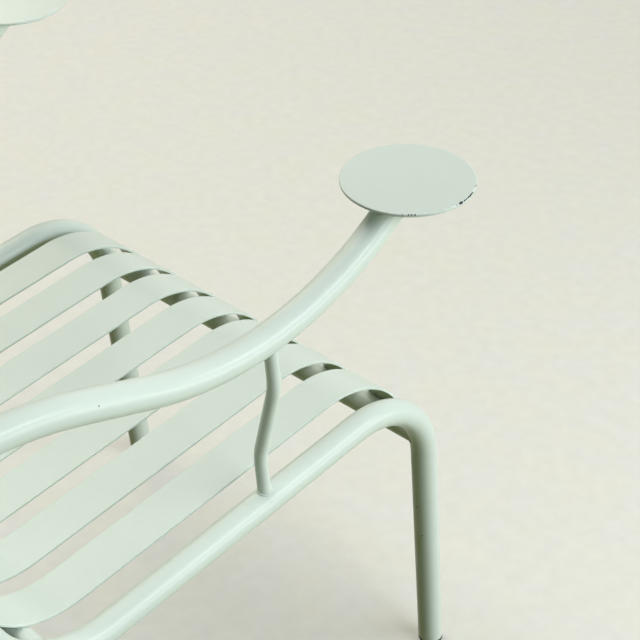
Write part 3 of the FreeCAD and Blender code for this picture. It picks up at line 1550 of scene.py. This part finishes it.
@dataclass(frozen=True)
class PlatePaint(SatinPaint):
    """The same paint on a round plate, without flecks and chipped along its rim."""

    fleck_share: float = 0.0
    ragged_size: float = 0.0013
    ragged: tuple[float, float] = (0.7, 1.2)
    middle: Place = (0.0, 0.0, 0.0)
    radius: float = 0.06125
    chips: tuple[RimChip, ...] = ()

    def knocks(self, sheet: NodeSheet) -> Socket:
        """Marks where the paint is chipped off the rim.

        Args:
            sheet: The material's nodes.

        Returns:
            1 on bare primer and 0 elsewhere.
        """
        parts = sheet.add("ShaderNodeSeparateXYZ", Vector=sheet.place).outputs
        right, ahead, below = (sheet.math("SUBTRACT", at, part) for at, part in zip(self.middle, parts))
        squares = [sheet.math("POWER", part, 2.0) for part in (right, ahead)]
        inward = sheet.math("SUBTRACT", self.radius, sheet.math("SQRT", sheet.math("ADD", *squares)))
        bearing = sheet.math("DEGREES", sheet.math("ARCTAN2", ahead, right))
        bites: list[object] = [0.0]
        for chip in self.chips:
            aside = sheet.math("DIVIDE", sheet.math("SUBTRACT", bearing, chip.bearing), chip.half)
            window = sheet.math("SUBTRACT", 1.0, sheet.math("MULTIPLY", aside, aside))
            bites.append(sheet.math("MULTIPLY", window, chip.bite))
        ragged = sheet.spread(sheet.cloud(self.ragged_size, detail=3.0), *self.ragged)
        reach = sheet.math("MULTIPLY", sheet.highest(bites), ragged)
        return sheet.math("LESS_THAN", sheet.math("ADD", inward, below), reach)


@dataclass(frozen=True)
class MouldedPlastic:
    """Dark moulded plastic, dusty and scuffed where it slides on the floor."""

    name: str
    tint: Colour = (0.030, 0.033, 0.033)
    dust: Colour = (0.20, 0.19, 0.17)
    dust_reach: float = 0.004
    dust_least: float = 0.12
    scuff_size: float = 0.002
    scuff: float = 0.55
    scuff_rough: float = 0.3
    rough: float = 0.52
    sheen: float = 0.5
    grain_size: float = 0.0006
    grain: float = 0.00003

    def material(self) -> Material:
        """Lays out the plastic.

        Returns:
            The material.
        """
        sheet = NodeSheet(self.name)
        above = sheet.add("ShaderNodeSeparateXYZ", Vector=sheet.place).outputs["Z"]
        low = sheet.math("SUBTRACT", 1.0, sheet.math("DIVIDE", above, self.dust_reach))
        scuff = sheet.spread(sheet.cloud(self.scuff_size, detail=4.0), 0.0, self.scuff)
        dusty = sheet.math("MULTIPLY", sheet.math("MAXIMUM", low, self.dust_least), scuff)
        colour = sheet.blend(dusty, self.tint, self.dust)
        rough = sheet.math("MULTIPLY_ADD", scuff, self.scuff_rough, self.rough)
        grain = sheet.math("MULTIPLY", sheet.cloud(self.grain_size, detail=1.0), self.grain)
        return sheet.finish(colour, rough, self.sheen, grain)


# Studio


@dataclass(frozen=True)
class Viewpoint:
    """Place and aim of the camera, for a square picture."""

    place: Place = (-1.060207, 0.585487, 1.420870)
    yaw: float = 42.975
    pitch: float = 35.946
    roll: float = -0.597
    focal_pixels: float = 1609.72
    picture_pixels: float = 640.0
    sensor: float = 36.0

    def set_up(self) -> None:
        """Adds the camera, which looks down over the chair's right arm from behind it."""
        yaw, pitch, roll = (math.radians(angle) for angle in (self.yaw, self.pitch, self.roll))
        level = Vector((math.sin(yaw), -math.cos(yaw), 0.0))
        forward = level * math.cos(pitch) - UP * math.sin(pitch)
        right = forward.cross(UP).normalized()
        above = right.cross(forward)
        tilted = right * math.cos(roll) + above * math.sin(roll)
        lens = bpy.data.cameras.new("camera")
        lens.sensor_width = self.sensor
        lens.lens = self.sensor * self.focal_pixels / self.picture_pixels
        camera = bpy.data.objects.new("camera", lens)
        bpy.context.scene.collection.objects.link(camera)
        axes = Matrix((tilted, tilted.cross(forward), -forward)).transposed()
        camera.matrix_world = Matrix.Translation(self.place) @ axes.to_4x4()
        bpy.context.scene.camera = camera


@dataclass(frozen=True)
class Lamp:
    """Soft light that points at the chair."""

    name: str
    place: Place
    width: float
    height: float
    power: float
    tint: Colour = (1.0, 1.0, 1.0)

    def set_up(self, target: Vector) -> None:
        """Adds the lamp.

        Args:
            target: The point that it is aimed at.
        """
        light = bpy.data.lights.new(self.name, "AREA")
        light.shape = "RECTANGLE"
        light.size = self.width
        light.size_y = self.height
        light.energy = self.power
        light.color = self.tint
        lamp = bpy.data.objects.new(self.name, light)
        bpy.context.scene.collection.objects.link(lamp)
        aim = (target - Vector(self.place)).to_track_quat("-Z", "Y")
        lamp.matrix_world = Matrix.Translation(self.place) @ aim.to_matrix().to_4x4()


@dataclass(frozen=True)
class Studio:
    """Plain pale floor, soft lamps and a pale surround.

    The floor has a glow of its own for the camera and for reflections. It is faint near the lit middle,
    where the chair's shadow shows, and whole from the fade reach on, so that the distance stays pale.
    """

    floor_size: float = 40.0
    floor_warm: Colour = (0.806, 0.800, 0.700)
    floor_cool: Colour = (0.800, 0.794, 0.742)
    mottle_size: float = 0.07
    floor_rough: tuple[float, float] = (0.75, 0.85)
    floor_sheen: float = 0.05
    dent_size: float = 0.004
    dent_depth: float = 0.0001
    speck_size: float = 0.020
    speck_depth: float = 0.045
    # Painted shade: the colour the floor has for light it throws back onto the chair, a dim olive in place
    # of the pale floor, which darkens the chair's shade and tints it olive.
    bounce: Colour = (0.14, 0.16, 0.0)
    glow: float = 0.22
    lit_middle: Place = (-0.3, -1.1, 0.0)
    lit_reach: float = 0.5
    fade_reach: float = 3.0
    surround: Colour = (0.786, 0.780, 0.704)
    fill: float = 0.01
    target: Place = (-0.1, -0.25, 0.45)
    lamps: tuple[Lamp, ...] = (
        Lamp("low_lamp", (-2.83, -1.83, 0.44), 2.4, 0.76, 43.0, (1.0, 0.995, 0.97)),
        Lamp("strip_lamp", (-2.81, -1.13, 1.90), 3.2, 0.45, 86.0, (0.86, 0.94, 1.0)),
        Lamp("top_lamp", (0.74, -0.32, 3.52), 2.2, 2.2, 49.0, (1.0, 0.985, 0.955)),
        Lamp("back_lamp", (1.12, 0.45, 3.33), 2.4, 2.4, 6.0, (1.0, 0.97, 0.82)),
        Lamp("left_lamp", (2.35, -0.86, 2.42), 2.0, 2.0, 38.0, (1.0, 0.97, 0.84)),
        Lamp("front_lamp", (1.45, -2.94, 1.22), 1.8, 1.8, 5.0, (1.0, 0.98, 0.91)),
    )

    def seen(self, tree: bpy.types.NodeTree) -> Socket:
        """Tells rays that show the surroundings from those that only light the chair.

        Args:
            tree: The nodes to add to.

        Returns:
            1 where the camera, a reflection or something clear looks, and 0 elsewhere.
        """
        path = tree.nodes.new("ShaderNodeLightPath").outputs
        total = path["Is Camera Ray"]
        for name in ("Is Glossy Ray", "Is Transmission Ray"):
            either = tree.nodes.new("ShaderNodeMath")
            either.operation = "MAXIMUM"
            tree.links.new(total, either.inputs[0])
            tree.links.new(path[name], either.inputs[1])
            total = either.outputs[0]
        return total

    def lay_floor(self) -> None:
        """Adds the floor, a pale sheet with a faint mottle."""
        clear_bench()
        bpy.ops.mesh.primitive_plane_add(size=self.floor_size)
        floor = start_piece("floor")
        bpy.ops.mesh.subdivide(number_cuts=3)
        close_up()
        sheet = NodeSheet("floor_sheet")
        mottle = sheet.spread(sheet.cloud(self.mottle_size, detail=3.0), 0.0, 1.0)
        specks = sheet.spread(sheet.cloud(self.speck_size, detail=5.0), 0.0, self.speck_depth)
        tint = sheet.blend(specks, sheet.blend(mottle, self.floor_warm, self.floor_cool), BLACK)
        reach = {"From_Min": self.lit_reach, "From_Max": self.fade_reach, "To_Min": self.glow, "To_Max": 1.0}
        away = sheet.away_from(self.lit_middle)
        glow = sheet.add("ShaderNodeMapRange", Value=away, **reach).outputs["Result"]
        seen = self.seen(sheet.tree)
        sheet.feed(sheet.shader.inputs["Emission Color"], tint)
        sheet.feed(sheet.shader.inputs["Emission Strength"], sheet.math("MULTIPLY", seen, glow))
        # Painted shade: rays that only light the chair see the dim olive bounce colour, not the pale floor
        # that the camera sees.
        colour = sheet.blend(seen, self.bounce, sheet.blend(glow, tint, BLACK))
        rough = sheet.spread(mottle, *self.floor_rough)
        dents = sheet.math("MULTIPLY", sheet.cloud(self.dent_size), self.dent_depth)
        floor.data.materials.append(sheet.finish(colour, rough, self.floor_sheen, dents))

    def light(self) -> None:
        """Adds the lamps and the surround."""
        for lamp in self.lamps:
            lamp.set_up(Vector(self.target))
        world = bpy.data.worlds.new("surround")
        bpy.context.scene.world = world
        world.use_nodes = True
        tree = world.node_tree
        fill = tree.nodes["Background"]
        fill.inputs["Color"].default_value = (*self.surround, 1.0)
        fill.inputs["Strength"].default_value = self.fill
        shown = tree.nodes.new("ShaderNodeBackground")
        shown.inputs["Color"].default_value = (*self.surround, 1.0)
        mixed = tree.nodes.new("ShaderNodeMixShader")
        tree.links.new(self.seen(tree), mixed.inputs["Fac"])
        tree.links.new(fill.outputs[0], mixed.inputs[1])
        tree.links.new(shown.outputs[0], mixed.inputs[2])
        tree.links.new(mixed.outputs[0], tree.nodes["World Output"].inputs["Surface"])

    def set_up(self) -> None:
        """Lays the floor, lights it and sets how colours are shown."""
        self.lay_floor()
        self.light()
        bpy.context.scene.view_settings.view_transform = "Standard"


def main() -> None:
    """Builds the chair piece by piece, then the studio round it."""
    logging.basicConfig(level=logging.INFO, format="%(message)s")
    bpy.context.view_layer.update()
    stock = Stock()
    view = SideView.centred(ChairSizes(), stock)
    paint = SatinPaint("frame_paint_satin", specks=LEG_SPECKS).material()
    arm_paint = SatinPaint("arm_paint_satin", specks=ARM_SPECKS).material()
    slat_paint = SatinPaint("slat_paint_satin").material()
    plastic = MouldedPlastic("glide_plastic_moulded").material()
    slats = SlatRow(view)
    frames = [SideFrame(view, side) for side in Side]
    frame_bars = [side_frame.bar() for side_frame in frames]
    for side_frame, frame_bar in zip(frames, frame_bars):
        side = side_frame.side
        side_frame.dress(paint)
        for front in (True, False):
            FootGlide(view, side, front).dress(plastic)
        arm = Arm(view, side)
        arm.dress(SEAM_WELD, arm_paint)
        arm_bar = arm.bar()
        ArmStay(view, side).dress(arm_bar, frame_bar, ROD_WELD, arm_paint)
        scrap(arm_bar)
        disc = ArmDisc(view, side)
        disc_paint = PlatePaint(
            f"disc_paint_{side.value}",
            middle=tuple(disc.top),
            radius=disc.diameter / 2,
            chips=RIM_CHIPS[side],
        )
        disc.dress(disc_paint.material())
    under = slats.underside - stock.weld_gap - stock.cross / 2
    front_tube = CrossTube(view, "front_cross_tube", view.front_bend, view.sizes.front_cross_turn)
    seat_tube = CrossTube(view, "seat_cross_tube", view.seat_bend, view.sizes.seat_cross_turn, under)
    top_tube = CrossTube(view, "top_cross_tube", view.top_bend, view.sizes.top_cross_turn, under)
    front_bar = front_tube.bar()
    slats.dress(front_bar, slat_paint)
    front_tube.dress(frame_bars, front_tube.welds(TUBE_WELD) + slats.seams(SEAM_WELD), paint)
    for tube in (seat_tube, top_tube):
        tube.dress(frame_bars, tube.welds(TUBE_WELD) + slats.tacks(SEAM_WELD, tube), paint)
    scrap(front_bar, *frame_bars)
    Viewpoint().set_up()
    Studio().set_up()
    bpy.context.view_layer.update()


if __name__ == "__main__":
    main()
